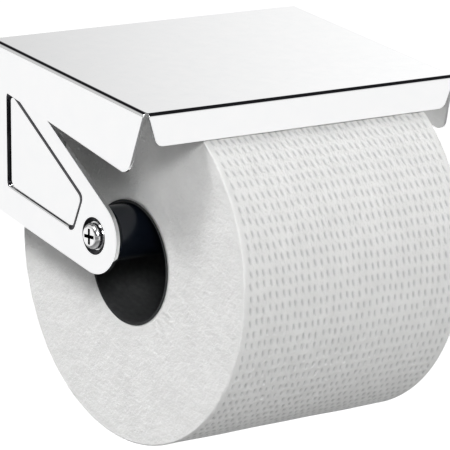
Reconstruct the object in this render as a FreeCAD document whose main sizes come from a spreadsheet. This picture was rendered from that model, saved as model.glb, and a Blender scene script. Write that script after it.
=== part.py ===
import FreeCAD, Part
import math
import os

import Sketcher

# Wall-hung toilet paper holder: a bent sheet bracket with one arm, a hinged cover that rests
# on the roll, a turning roller on a spindle that one screw holds to the arm, and a full roll.
# Millimetres. X to the right seen from the front, -Y out of the wall, +Z up. The origin is the
# centre of the wall plate's bolt pattern, on the wall.

os.makedirs("parts", exist_ok=True)
doc = FreeCAD.newDocument("toilet_paper_holder")

# ---------------------------------------------------------------- driving dimensions

DRIVING = [
    # the roll of paper
    ("roll_width", 95.0, "length of the paper roll"),
    ("roll_radius", 62.3, "outside radius of a full roll"),
    ("core_bore", 20.5, "inside radius of the cardboard core"),
    ("core_wall", 0.8, "thickness of the cardboard core"),
    ("roll_to_wall", 4.8, "space left between a full roll and the wall"),
    ("roll_gap_arm", 13.0, "from the arm's inner face to the roll's near face"),
    ("roll_gap_right", 11.6, "from the roll's far face to the cover's right flange"),
    ("roll_clearance", 0.3, "cover to roll, and roll to roller"),
    # the roller and its spindle
    ("roller_radius", 9.3, "outside radius of the roller tube"),
    ("roller_wall", 2.0, "wall of the roller tube"),
    ("roller_drop", 27.9, "spindle axis below the bolt pattern"),
    ("roller_overhang", 5.0, "roller past the roll's far face"),
    ("spindle_radius", 4.0, "radius of the fixed spindle"),
    ("spindle_flange_radius", 7.0, "radius of the spindle's collar at the arm"),
    ("spindle_flange", 1.6, "thickness of that collar"),
    ("running_fit", 0.08, "radial play of what turns on a shaft"),
    ("end_play", 0.4, "play along a shaft"),
    ("bush_length", 9.0, "length of a roller bush"),
    ("clip_radius", 6.2, "radius of the spindle's retaining clip"),
    ("clip_gauge", 0.9, "thickness of that clip"),
    ("clip_groove", 0.8, "depth of the clip's groove"),
    ("clip_mouth", 5.8, "width of the clip's open side"),
    ("clip_to_plug", 1.8, "clip to the end plug"),
    ("spindle_tail", 0.8, "spindle past its clip"),
    ("plug_cap", 3.0, "thickness of the end plug outside the tube"),
    ("plug_spigot", 5.0, "length of the end plug inside the tube"),
    ("plug_round", 2.1, "rounding of the end plug's rim"),
    # the bracket
    ("bracket_gauge", 1.5, "thickness of the bracket's sheet"),
    ("bracket_bend", 3.0, "outside radius of the bracket's bends"),
    ("arm_gap", 9.0, "from the cover's left flange to the arm's outer face"),
    ("arm_tip_radius", 12.8, "radius of the arm's round tip"),
    ("arm_top_slope", 0.7395, "fall of the arm's upper edge per unit of reach"),
    ("arm_low_slope", 0.2446, "fall of the arm's lower edge per unit of reach"),
    ("ear_blend", 5.0, "radius between the arm's upper edge and its ear"),
    ("ear_radius", 6.0, "radius of the bracket's round ears about the hinge rod"),
    ("ear_neck", 16.0, "height of the right ear's root on the wall plate"),
    ("plate_below_hinge", 3.0, "top of the wall plate below the hinge axis"),
    ("bolt_spacing", 80.0, "distance between the two wall screws"),
    ("bolt_hole_radius", 2.6, "radius of the wall screw holes"),
    # the pressed panel and the screw seat in the arm
    ("panel_top_margin", 8.0, "arm's upper edge to the panel"),
    ("panel_low_margin", 10.4, "arm's lower edge to the panel"),
    ("panel_end", 11.8, "spindle axis to the panel's near end"),
    ("panel_off_wall", 17.2, "wall to the panel's far edge"),
    ("panel_corner", 2.5, "radius of the panel's corners"),
    ("panel_depth", 1.1, "depth of the pressed panel"),
    ("seat_radius", 6.1, "radius of the dished screw seat"),
    ("seat_depth", 0.8, "depth of the dished screw seat"),
    # the screw in the arm
    ("screw_radius", 2.5, "radius of the arm screw's shank"),
    ("screw_reach", 13.0, "length of the arm screw under its head"),
    ("head_radius", 4.5, "radius of the pan head"),
    ("head_height", 2.7, "height of the pan head"),
    ("head_round", 1.7, "rounding of the pan head's rim"),
    ("cross_width", 1.2, "width of the cross recess's slots"),
    ("cross_span", 5.4, "length of the cross recess's slots"),
    ("cross_depth", 1.7, "depth of the cross recess"),
    ("lock_gauge", 0.8, "thickness of the lock washer"),
    ("lock_radius", 6.0, "radius of the lock washer"),
    ("shank_fit", 0.1, "radial play round the screw's shank"),
    # the cover
    ("cover_depth", 88.3, "front to back length of the cover's top"),
    ("cover_gauge", 1.0, "thickness of the cover's sheet"),
    ("cover_bend", 1.6, "outside radius of the cover's bends"),
    ("cover_tilt", 9.3, "slope of the closed cover, front low, degrees"),
    ("cover_flare", 4.5, "how far the cover's flanges lean outwards, degrees"),
    ("lip_drop", 11.2, "height of the front lip"),
    ("lip_corner", 3.5, "radius of the lip's lower corners"),
    ("lip_slant", 3.6, "how much each end of the lip leans in"),
    ("corner_relief", 1.6, "open corner between two bends"),
    ("flange_front", 21.7, "height of the side flange at the front"),
    ("flange_rear", 13.9, "height of the side flange at the back"),
    ("flange_slant", 2.9, "how much the flange's front edge leans back"),
    ("flange_corner", 4.0, "radius of the flange's lower front corner"),
    ("hinge_below_top", 7.5, "hinge axis below the cover's top face"),
    ("hinge_behind", 1.0, "hinge axis behind the cover's top"),
    ("hinge_to_wall", 20.7, "hinge axis to the wall"),
    # the hinge
    ("rod_radius", 2.0, "radius of the hinge rod"),
    ("spacer_radius", 4.2, "radius of the hinge spacers"),
    ("spacer_play", 0.35, "end play beside each spacer"),
    ("cap_radius", 3.8, "radius of the push-on caps"),
    ("cap_height", 2.2, "height of the push-on caps"),
    ("cap_round", 1.3, "rounding of a cap's rim"),
    ("cap_grip", 1.6, "length of rod inside a cap"),
    ("cap_clearance", 1.0, "cap to the cover's flange"),
    # cutting pieces
    ("overrun", 1.0, "how far a cutting piece runs past what it cuts"),
    ("trim_reach", 5.0, "how far an outline runs to each side of the sheet it trims"),
]

# What follows from the driving dimensions. Angles are in degrees.
DERIVED = [
    ("roll_off_wall", "dims.roll_radius + dims.roll_to_wall"),
    ("core_radius", "dims.core_bore + dims.core_wall"),
    ("roll_drop", "dims.roller_drop - dims.roller_radius - dims.roll_clearance + dims.core_bore"),
    ("arm_outer", "dims.cover_gauge + dims.arm_gap"),
    ("arm_inner", "arm_outer + dims.bracket_gauge"),
    ("cover_width", "arm_inner + dims.roll_gap_arm + dims.roll_width"
                    " + dims.roll_gap_right + dims.cover_gauge"),
    ("side", "cover_width / 2"),
    ("arm_x", "arm_outer - side"),
    ("arm_face_x", "arm_inner - side"),
    ("roll_left", "arm_face_x + dims.roll_gap_arm"),
    ("roll_right", "roll_left + dims.roll_width"),
    ("hinge_reach", "dims.hinge_below_top - dims.cover_gauge"),
    ("hinge_lead", "roll_off_wall - dims.hinge_to_wall"),
    ("cover_axis_run", "dims.cover_depth + dims.hinge_behind"),
    # the lip's lower inner edge, from the hinge axis, in the level and in the closed cover
    ("lip_leg", "dims.lip_drop - dims.cover_bend * (1 - sin(dims.cover_flare))"),
    ("lip_y", "dims.cover_bend - cover_axis_run - lip_leg * sin(dims.cover_flare)"
              " - (dims.cover_bend - dims.cover_gauge) * cos(dims.cover_flare)"),
    ("lip_z", "dims.hinge_below_top - dims.cover_bend - lip_leg * cos(dims.cover_flare)"
              " + (dims.cover_bend - dims.cover_gauge) * sin(dims.cover_flare)"),
    ("lip_out", "lip_y * cos(dims.cover_tilt) - lip_z * sin(dims.cover_tilt)"),
    ("lip_up", "lip_y * sin(dims.cover_tilt) + lip_z * cos(dims.cover_tilt)"),
    ("roll_reach", "dims.roll_radius + dims.roll_clearance"),
    # the closed cover rests on the roll, with its lip or with its top, whichever is higher
    ("hinge_by_top", "(hinge_lead * sin(dims.cover_tilt) + roll_reach - hinge_reach)"
                     " / cos(dims.cover_tilt) - roll_drop"),
    ("hinge_by_lip", "sqrt(roll_reach ^ 2 - (hinge_lead + lip_out) ^ 2) - lip_up - roll_drop"),
    ("hinge_height", "max(hinge_by_top; hinge_by_lip)"),
    ("plate_top", "hinge_height - dims.plate_below_hinge"),
    ("top_angle", "atan(dims.arm_top_slope)"),
    ("low_angle", "atan(dims.arm_low_slope)"),
    # where the ear's neck comes down on the arm's upper edge
    ("neck_foot", "(hinge_lead - dims.ear_radius) * dims.arm_top_slope"
                  " + dims.arm_tip_radius / cos(top_angle) - dims.roller_drop"),
    ("plate_bottom", "roll_off_wall * dims.arm_low_slope - dims.roller_drop"
                     " - dims.arm_tip_radius / cos(low_angle)"),
    ("axis_angle", "(top_angle + low_angle) / 2"),
    ("half_angle", "(top_angle - low_angle) / 2"),
    ("panel_over", "dims.arm_tip_radius - dims.panel_top_margin"),
    ("panel_under", "dims.arm_tip_radius - dims.panel_low_margin"),
    ("panel_up", "panel_over / cos(half_angle) + dims.panel_end * tan(half_angle)"),
    ("panel_down", "panel_under / cos(half_angle) + dims.panel_end * tan(half_angle)"),
    ("panel_run", "roll_off_wall - dims.panel_off_wall"),
    ("collar_x", "arm_face_x + dims.seat_depth + dims.lock_gauge"),
    ("tube_left", "collar_x + dims.spindle_flange + dims.end_play"),
    ("tube_right", "roll_right + dims.roller_overhang"),
    ("tube_bore", "dims.roller_radius - dims.roller_wall"),
    ("clip_x", "tube_right - dims.plug_spigot - dims.clip_to_plug - dims.clip_gauge"),
    ("spindle_end", "clip_x + dims.clip_gauge + dims.spindle_tail"),
    ("flange_shift", "dims.hinge_below_top * tan(dims.cover_flare)"),
    ("rod_end", "side + flange_shift + dims.cap_clearance + dims.cap_grip"),
    ("flange_ear", "dims.flange_rear - dims.hinge_below_top"),
]


def fill(name, rows):
    """A sheet with one alias for each row; a formula starts with an equals sign."""
    table = doc.addObject("Spreadsheet::Sheet", name)
    for number, row in enumerate(rows, start=1):
        value = str(row[1]) if isinstance(row[1], float) else "=" + row[1]
        table.set("A%d" % number, row[0])
        table.set("B%d" % number, value)
        table.setAlias("B%d" % number, row[0])
        if len(row) > 2:
            table.set("C%d" % number, row[2])
    doc.recompute()
    return table


dims = fill("dims", DRIVING)
places = fill("places", DERIVED)


def value(alias):
    """A size from either sheet as a plain number."""
    table = dims if hasattr(dims, alias) else places
    return float(getattr(table, alias))


# ---------------------------------------------------------------- building blocks

TURNS = {
    "x": FreeCAD.Rotation(FreeCAD.Vector(1, 1, 1), 120),
    "y": FreeCAD.Rotation(FreeCAD.Vector(1, 0, 0), -90),
    "z": FreeCAD.Rotation(),
}


def bind(item, sizes, corner):
    """Ties an object's sizes and its place to expressions."""
    for prop, rule in sizes.items():
        item.setExpression(prop, rule)
    for letter, rule in zip("xyz", corner):
        item.setExpression("Placement.Base." + letter, rule)
    return item


def box(name, low, high):
    """A block between two corners, each given as three expressions."""
    item = doc.addObject("Part::Box", name)
    spans = ["(%s) - (%s)" % (b, a) for a, b in zip(low, high)]
    return bind(item, dict(zip(("Length", "Width", "Height"), spans)), low)


def rod(name, radius, start, length, centre, axis="x"):
    """A cylinder along an axis: start along it, and the other two coordinates in centre."""
    item = doc.addObject("Part::Cylinder", name)
    item.Placement.Rotation = TURNS[axis]
    place = {"x": (start,) + tuple(centre), "y": (centre[0], start, centre[1])}[axis]
    return bind(item, {"Radius": radius, "Height": length}, place)


def cut(name, base, tool):
    item = doc.addObject("Part::Cut", name)
    item.Base = base
    item.Tool = tool
    return item


def fuse(name, *pieces):
    item = doc.addObject("Part::MultiFuse", name)
    item.Shapes = list(pieces)
    item.Refine = True
    return item


def common(name, first, second):
    item = doc.addObject("Part::MultiCommon", name)
    item.Shapes = [first, second]
    return item


def tube(name, outer, inner, start, length, centre, axis="x"):
    """A pipe with both radii given as expressions."""
    return cut(name,
               rod(name + "_outside", outer, start, length, centre, axis),
               rod(name + "_inside", inner, start, length, centre, axis))


def plate(name, corners, start, thickness):
    """A flat plate across X: an outline of (y, z) expressions, padded along +X."""
    sketch = doc.addObject("Sketcher::SketchObject", name + "_outline")
    sketch.Placement.Rotation = TURNS["x"]
    sketch.setExpression("Placement.Base.x", start)
    return pad(name, sketch, corners, thickness)


def pad(name, sketch, corners, thickness):
    """Draws a closed outline whose corners follow expressions, and pads it."""
    count = len(corners)
    rough = [(math.cos(2 * math.pi * k / count), math.sin(2 * math.pi * k / count))
             for k in range(count)]
    for index in range(count):
        first = FreeCAD.Vector(*rough[index], 0)
        second = FreeCAD.Vector(*rough[(index + 1) % count], 0)
        sketch.addGeometry(Part.LineSegment(first, second))
    for index in range(count):
        link = ("Coincident", index, 2, (index + 1) % count, 1)
        sketch.addConstraint(Sketcher.Constraint(*link))
    for index in range(count):
        for kind, rule, guess in zip(("DistanceX", "DistanceY"), corners[index], rough[index]):
            number = sketch.addConstraint(Sketcher.Constraint(kind, -1, 1, index, 1, guess))
            label = "%s%d" % ("across" if kind == "DistanceX" else "up", index)
            sketch.renameConstraint(number, label)
            sketch.setExpression("Constraints." + label, rule)
    item = doc.addObject("Part::Extrusion", name)
    item.Base = sketch
    item.DirMode = "Normal"
    item.Solid = True
    item.setExpression("LengthFwd", thickness)
    return item


def rounded(name, base, radius, wanted):
    """Rounds the straight edges of base whose middle and direction wanted() accepts."""
    doc.recompute()
    picks = []
    for index, edge in enumerate(base.Shape.Edges, start=1):
        if isinstance(edge.Curve, (Part.Line, Part.LineSegment)):
            run = (edge.Vertexes[1].Point - edge.Vertexes[0].Point).normalize()
            middle = edge.CenterOfMass
            if wanted(middle, run):
                picks.append((index, radius, radius))
    if not picks:
        raise RuntimeError(name + ": no edge to round")
    item = doc.addObject("Part::Fillet", name)
    item.Base = base
    item.Edges = picks
    return item


def rim(name, base, radius, wanted):
    """Rounds the circular edges of base whose centre and radius wanted() accepts."""
    doc.recompute()
    picks = []
    for index, edge in enumerate(base.Shape.Edges, start=1):
        if isinstance(edge.Curve, Part.Circle) and wanted(edge.Curve.Center, edge.Curve.Radius):
            picks.append((index, radius, radius))
    if not picks:
        raise RuntimeError(name + ": no rim to round")
    item = doc.addObject("Part::Fillet", name)
    item.Base = base
    item.Edges = picks
    return item


def along_x(middle, run):
    return abs(run.x) > 0.99


# Where the two long axes lie, as (y, z) expressions.
ROLL = ("-places.roll_off_wall", "-places.roll_drop")
SPINDLE = ("-places.roll_off_wall", "-dims.roller_drop")
HINGE = ("-dims.hinge_to_wall", "places.hinge_height")


# ---------------------------------------------------------------- the roll of paper

def make_roll():
    core = tube("cardboard_core", "places.core_radius", "dims.core_bore",
                "places.roll_left", "dims.roll_width", ROLL)
    paper = tube("paper_roll", "dims.roll_radius", "places.core_radius",
                 "places.roll_left", "dims.roll_width", ROLL)
    return [core, paper]


# ---------------------------------------------------------------- the bracket

def off_spindle(run, rise):
    """A point on the arm, by its distances along and across the arm's middle line."""
    across = "-places.roll_off_wall + (%s) * cos(places.axis_angle) - (%s) * sin(places.axis_angle)"
    up = "-dims.roller_drop + (%s) * sin(places.axis_angle) + (%s) * cos(places.axis_angle)"
    return (across % (run, rise), up % (run, rise))


def arm_outline():
    """The wedge from the round tip to the wall plate's bend, with the ear's neck on top."""
    tip = "dims.arm_tip_radius"
    return [
        ("-places.roll_off_wall - %s * sin(places.top_angle)" % tip,
         "-dims.roller_drop + %s * cos(places.top_angle)" % tip),
        ("-places.roll_off_wall + %s * sin(places.low_angle)" % tip,
         "-dims.roller_drop - %s * cos(places.low_angle)" % tip),
        ("-dims.bracket_bend",
         "places.plate_bottom - dims.bracket_bend * dims.arm_low_slope"),
        ("-dims.bracket_bend", "places.plate_top"),
        ("-dims.hinge_to_wall + dims.ear_radius", "places.plate_top"),
        ("-dims.hinge_to_wall", "places.hinge_height"),
        ("-dims.hinge_to_wall - dims.ear_radius", "places.hinge_height"),
        ("-dims.hinge_to_wall - dims.ear_radius", "places.neck_foot"),
    ]


def panel_outline(grow):
    """The pressed panel's four corners, moved outwards by grow."""
    over = "(places.panel_over + %s)" % grow
    under = "(places.panel_under + %s)" % grow
    run = "(places.panel_run + %s)" % grow
    end = "dims.panel_end - %s" % grow
    up = "%s / cos(places.half_angle) + (%s) * tan(places.half_angle)" % (over, end)
    down = "-(%s / cos(places.half_angle) + (%s) * tan(places.half_angle))" % (under, end)
    back = "-dims.panel_off_wall + %s" % grow
    return [
        off_spindle(end, down),
        (back, "-dims.roller_drop - %s / cos(places.low_angle) + %s * tan(places.low_angle)"
         % (under, run)),
        (back, "-dims.roller_drop + %s / cos(places.top_angle) + %s * tan(places.top_angle)"
         % (over, run)),
        off_spindle(end, up),
    ]


def make_arm():
    """The left arm: wedge, round tip, hinge ear, pressed panel and dished screw seat."""
    gauge = "dims.bracket_gauge"
    wedge = plate("arm_wedge", arm_outline(), "places.arm_x", gauge)
    tip = rod("arm_tip", "dims.arm_tip_radius", "places.arm_x", gauge, SPINDLE)
    ear = rod("arm_ear", "dims.ear_radius", "places.arm_x", gauge, HINGE)
    blank = fuse("arm_blank", wedge, tip, ear)

    notch_y = -value("hinge_to_wall") - value("ear_radius")

    def at_notch(middle, run):
        gap = math.hypot(middle.y - notch_y, middle.z - value("neck_foot"))
        return along_x(middle, run) and gap < 0.05

    blank = rounded("arm_blended", blank, value("ear_blend"), at_notch)

    corner = value("panel_corner")
    swell = plate("panel_swell", panel_outline("dims.bracket_gauge"),
                  "places.arm_face_x", "dims.panel_depth")
    swell = rounded("panel_back", swell, corner + value("bracket_gauge"), along_x)
    hollow = plate("panel_hollow", panel_outline("0"),
                   "places.arm_x - dims.overrun", "dims.panel_depth + dims.overrun")
    hollow = rounded("panel_front", hollow, corner, along_x)
    seat_back = rod("seat_back", "dims.seat_radius + dims.bracket_gauge",
                    "places.arm_face_x", "dims.seat_depth", SPINDLE)
    outside = "places.arm_x - dims.overrun"
    seat_front = rod("seat_front", "dims.seat_radius", outside,
                     "dims.seat_depth + dims.overrun", SPINDLE)
    hole = rod("arm_screw_hole", "dims.screw_radius + dims.shank_fit", outside,
               "dims.bracket_gauge + dims.seat_depth + 2 * dims.overrun", SPINDLE)
    pressed = fuse("arm_pressed", blank, swell, seat_back)
    return cut("arm_sheet", pressed, fuse("arm_hollows", hollow, seat_front, hole))


def make_right_ear():
    """A short ear on the plate's right end, which carries the rod's other end."""
    face = "places.side - places.arm_inner"
    outline = [
        ("-dims.hinge_to_wall", "places.hinge_height"),
        ("-dims.hinge_to_wall", "places.hinge_height - dims.ear_radius"),
        ("-dims.bracket_bend", "places.hinge_height - dims.ear_radius - dims.ear_neck"),
        ("-dims.bracket_bend", "places.plate_top"),
        ("-dims.hinge_to_wall + dims.ear_radius", "places.plate_top"),
    ]
    neck = plate("right_ear_neck", outline, face, "dims.bracket_gauge")
    disc = rod("right_ear_disc", "dims.ear_radius", face, "dims.bracket_gauge", HINGE)
    return fuse("right_ear", neck, disc)


def bend(name, outer, gauge, axis_place, start, length, turn, angle):
    """A bend in sheet: a sector of a pipe, turned about its own axis before it is placed."""
    pieces = []
    for suffix, radius in (("_outer", outer), ("_inner", "%s - %s" % (outer, gauge))):
        item = doc.addObject("Part::Cylinder", name + suffix)
        item.Placement.Rotation = turn
        bind(item, {"Radius": radius, "Height": length, "Angle": angle}, axis_place)
        pieces.append(item)
    return cut(name, *pieces)


def make_bracket():
    """Wall plate, its two bends, the arm and the right ear, as one bent sheet."""
    outer = "dims.bracket_bend"
    gauge = "dims.bracket_gauge"
    edge = "(places.side - places.arm_outer - dims.bracket_bend)"
    low = "places.plate_bottom"
    tall = "places.plate_top - places.plate_bottom"
    sheet = box("wall_plate", ("-" + edge, "-" + gauge, low), (edge, "0", "places.plate_top"))

    left_turn = FreeCAD.Rotation(FreeCAD.Vector(0, 0, 1), 90)
    left_bend = bend("left_bend", outer, gauge, ("-" + edge, "-" + outer, low),
                     low, tall, left_turn, "90")
    ear_low = "places.hinge_height - dims.ear_radius - dims.ear_neck"
    right_bend = bend("right_bend", outer, gauge, (edge, "-" + outer, ear_low),
                      ear_low, "places.plate_top - (%s)" % ear_low, FreeCAD.Rotation(), "90")
    body = fuse("bracket_blank", sheet, left_bend, right_bend, make_arm(), make_right_ear())

    tools = []
    for side, sign in (("left", "-"), ("right", "")):
        tools.append(rod("wall_hole_" + side, "dims.bolt_hole_radius", "-dims.bracket_gauge - dims.overrun",
                         "dims.bracket_gauge + 2 * dims.overrun", (sign + "dims.bolt_spacing / 2", "0"), "y"))
    tools.append(rod("rod_hole", "dims.rod_radius", "-places.side", "places.cover_width", HINGE))
    pierced = cut("bracket_pierced", body, fuse("bracket_holes", *tools))

    def foot(middle, run):
        at_edge = abs(middle.x - value("side") + value("arm_outer") + value("bracket_bend")) < 0.1
        return abs(run.y) > 0.99 and at_edge and abs(middle.z - value("plate_bottom")) < 0.1

    return rounded("bracket_sheet", pierced, value("panel_corner"), foot)


# ---------------------------------------------------------------- hinge hardware

def make_hinge():
    reach = "places.rod_end"
    pin = rod("hinge_rod", "dims.rod_radius", "-" + reach, "2 * " + reach, HINGE)
    made = [pin]
    start = "places.side - places.arm_outer + dims.spacer_play / 2"
    length = "dims.arm_gap - 2 * dims.spacer_play"
    cap_x = "(places.rod_end - dims.cap_grip)"
    for side, sign in (("left", "-"), ("right", "")):
        first = start if side == "right" else "-(%s) - (%s)" % (start, length)
        made.append(tube("hinge_spacer_" + side, "dims.spacer_radius",
                         "dims.rod_radius + dims.running_fit", first, length, HINGE))
        first = cap_x if side == "right" else "-%s - dims.cap_height" % cap_x
        shell = rod("cap_body_" + side, "dims.cap_radius", first, "dims.cap_height", HINGE)
        outer_x = value("rod_end") - value("cap_grip") + value("cap_height")
        outer_x = outer_x if side == "right" else -outer_x
        dome = rim("cap_dome_" + side, shell, value("cap_round"),
                   lambda centre, radius, x=outer_x: abs(centre.x - x) < 0.01)
        first = cap_x if side == "right" else "-places.rod_end"
        bore = rod("cap_bore_" + side, "dims.rod_radius", first, "dims.cap_grip", HINGE)
        made.append(cut("hinge_cap_" + side, dome, bore))
    return made


# ---------------------------------------------------------------- spindle and roller

def make_arm_screw():
    """A pan head screw from outside the arm into the spindle's end."""
    seat = "places.arm_x + dims.seat_depth"
    blank = rod("screw_head_blank", "dims.head_radius", "places.arm_x + dims.seat_depth"
                " - dims.head_height", "dims.head_height", SPINDLE)
    top = value("arm_x") + value("seat_depth") - value("head_height")
    head = rim("screw_head", blank, value("head_round"),
               lambda centre, radius: abs(centre.x - top) < 0.01)
    shank = rod("screw_shank", "dims.screw_radius", seat, "dims.screw_reach", SPINDLE)
    whole = fuse("screw_whole", head, shank)
    mouth = seat + " - dims.head_height"
    slots = []
    for index, (wide, tall) in enumerate((("cross_span", "cross_width"),
                                          ("cross_width", "cross_span"))):
        low = (mouth + " - dims.overrun",
               "%s - dims.%s / 2" % (SPINDLE[0], wide),
               "%s - dims.%s / 2" % (SPINDLE[1], tall))
        high = (mouth + " + dims.cross_depth",
                "%s + dims.%s / 2" % (SPINDLE[0], wide),
                "%s + dims.%s / 2" % (SPINDLE[1], tall))
        slots.append(box("cross_slot_%d" % index, low, high))
    return cut("arm_screw", whole, fuse("cross_recess", *slots))


def make_spindle():
    """A turned spindle with a collar at the arm, a tapped end and a clip groove."""
    shaft = rod("spindle_shaft", "dims.spindle_radius", "places.collar_x",
                "places.spindle_end - places.collar_x", SPINDLE)
    collar = rod("spindle_collar", "dims.spindle_flange_radius", "places.collar_x",
                 "dims.spindle_flange", SPINDLE)
    bore = rod("spindle_bore", "dims.screw_radius + dims.shank_fit", "places.collar_x - dims.overrun",
               "dims.screw_reach + dims.overrun", SPINDLE)
    groove = tube("spindle_groove", "dims.spindle_radius + dims.overrun",
                  "dims.spindle_radius - dims.clip_groove", "places.clip_x",
                  "dims.clip_gauge", SPINDLE)
    return cut("spindle", fuse("spindle_blank", shaft, collar),
               fuse("spindle_cuts", bore, groove))


def make_spindle_hardware():
    washer = tube("lock_washer", "dims.lock_radius", "dims.screw_radius + dims.shank_fit",
                  "places.collar_x - dims.lock_gauge", "dims.lock_gauge", SPINDLE)
    ring = tube("clip_ring", "dims.clip_radius", "dims.spindle_radius - dims.clip_groove",
                "places.clip_x", "dims.clip_gauge", SPINDLE)
    mouth = box("clip_opening",
                ("places.clip_x - dims.overrun", SPINDLE[0] + " - dims.clip_mouth / 2",
                 SPINDLE[1] + " - dims.clip_radius - dims.overrun"),
                ("places.clip_x + dims.clip_gauge + dims.overrun",
                 SPINDLE[0] + " + dims.clip_mouth / 2", SPINDLE[1]))
    return [washer, cut("spindle_clip", ring, mouth)]


def make_roller():
    """The turning tube, a bush near each end of it, and the plug in its free end."""
    length = "places.tube_right - places.tube_left"
    barrel = tube("roller_tube", "dims.roller_radius", "places.tube_bore",
                  "places.tube_left", length, SPINDLE)
    hole = "dims.spindle_radius + dims.running_fit"
    left = tube("roller_bush_left", "places.tube_bore", hole, "places.tube_left",
                "dims.bush_length", SPINDLE)
    right = tube("roller_bush_right", "places.tube_bore", hole,
                 "places.clip_x - dims.end_play - dims.bush_length", "dims.bush_length", SPINDLE)
    cap = rod("plug_cap_blank", "dims.roller_radius", "places.tube_right", "dims.plug_cap",
              SPINDLE)
    end_x = value("tube_right") + value("plug_cap")
    cap = rim("plug_cap", cap, value("plug_round"),
              lambda centre, radius: abs(centre.x - end_x) < 0.01)
    spigot = tube("plug_spigot", "places.tube_bore", "places.tube_bore - dims.roller_wall",
                  "places.tube_right - dims.plug_spigot", "dims.plug_spigot", SPINDLE)
    return [barrel, left, right, fuse("roller_end_plug", cap, spigot)]


# ---------------------------------------------------------------- the cover

def cover_y(run):
    """A distance back from the cover's front edge, measured from the hinge axis."""
    return "(%s) - places.cover_axis_run" % run


def cover_z(rise):
    """A height over the cover's top face, measured from the hinge axis."""
    return "dims.hinge_below_top + (%s)" % rise


def flange_outline():
    """One side flange seen from its side: slanted front, tapering foot, back to the ear."""
    taper = "(dims.flange_front - dims.flange_rear)"
    return [
        (cover_y("dims.corner_relief"), cover_z("dims.overrun")),
        (cover_y("dims.corner_relief"), cover_z("-dims.cover_bend")),
        (cover_y("dims.corner_relief + dims.flange_slant"), cover_z("-dims.flange_front")),
        ("0", cover_z("-dims.flange_front + " + taper)),
        ("0", cover_z("dims.overrun")),
    ]


def lean(name, axis, sign, size, foot):
    """A sheet leg that hangs from a bend and leans outwards by the cover's flare."""
    leg = doc.addObject("Part::Box", name)
    leg.Placement.Rotation = FreeCAD.Rotation(axis, 1)
    leg.setExpression("Placement.Rotation.Angle", "%sdims.cover_flare" % sign)
    return bind(leg, dict(zip(("Length", "Width", "Height"), size)), foot)


def make_side_flange(side):
    """The bend, the leaning leg and its outline on one side of the cover."""
    outer = "dims.cover_bend"
    gauge = "dims.cover_gauge"
    turn = "dims.cover_flare"
    run = "places.cover_axis_run + places.flange_ear - dims.corner_relief"
    drop = "dims.flange_front + 2 * dims.overrun"
    centre_x = "(places.side - dims.cover_bend)"
    front = cover_y("dims.corner_relief")
    centre_z = cover_z("-dims.cover_bend")
    # the leg's outer top corner, where the bend ends
    out_x = "(%s + %s * cos(%s))" % (centre_x, outer, turn)
    out_z = "(%s) + %s * sin(%s)" % (centre_z, outer, turn)
    foot_z = "(%s) - (%s) * cos(%s)" % (out_z, drop, turn)
    foot_x = "(%s + (%s) * sin(%s))" % (out_x, drop, turn)
    across = "%s * cos(%s)" % (gauge, turn)
    rise = "%s * sin(%s)" % (gauge, turn)
    bend_turn = FreeCAD.Rotation(FreeCAD.Vector(1, 0, 0), -90)
    if side == "right":
        corner = ("%s - %s" % (foot_x, across), front, "%s - %s" % (foot_z, rise))
        leg = lean("flange_leg_right", FreeCAD.Vector(0, 1, 0), "-", (gauge, run, drop), corner)
        turn_it = bend_turn.multiply(FreeCAD.Rotation(FreeCAD.Vector(0, 0, 1), -90))
        place = (centre_x, front, centre_z)
        rounding = bend("flange_bend_right", outer, gauge, place, front,
                        "dims.cover_depth - dims.corner_relief", turn_it, "90 - " + turn)
    else:
        corner = ("-" + foot_x, front, foot_z)
        leg = lean("flange_leg_left", FreeCAD.Vector(0, 1, 0), "", (gauge, run, drop), corner)
        turn_it = FreeCAD.Rotation(FreeCAD.Vector(1, 0, 0), 90)
        turn_it = turn_it.multiply(FreeCAD.Rotation(FreeCAD.Vector(0, 0, 1), 90))
        place = ("-" + centre_x, cover_y("dims.cover_depth"), centre_z)
        rounding = bend("flange_bend_left", outer, gauge, place, front,
                        "dims.cover_depth - dims.corner_relief", turn_it, "90 - " + turn)
    start = "places.side - dims.trim_reach"
    start = "-places.side - dims.trim_reach" if side == "left" else start
    span = "2 * dims.trim_reach"
    prism = plate("flange_prism_" + side, flange_outline(), start, span)

    def toe(middle, run):
        near_front = middle.y < -0.8 * value("cover_axis_run")
        low = middle.z < value("hinge_below_top") - 0.9 * value("flange_front")
        return abs(run.x) > 0.99 and near_front and low

    prism = rounded("flange_toe_" + side, prism, value("flange_corner"), toe)
    ear = rod("flange_ear_" + side, "places.flange_ear", start, span, ("0", "0"))
    outline = fuse("flange_shape_" + side, prism, ear)
    return [common("flange_" + side, leg, outline), rounding]


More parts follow.
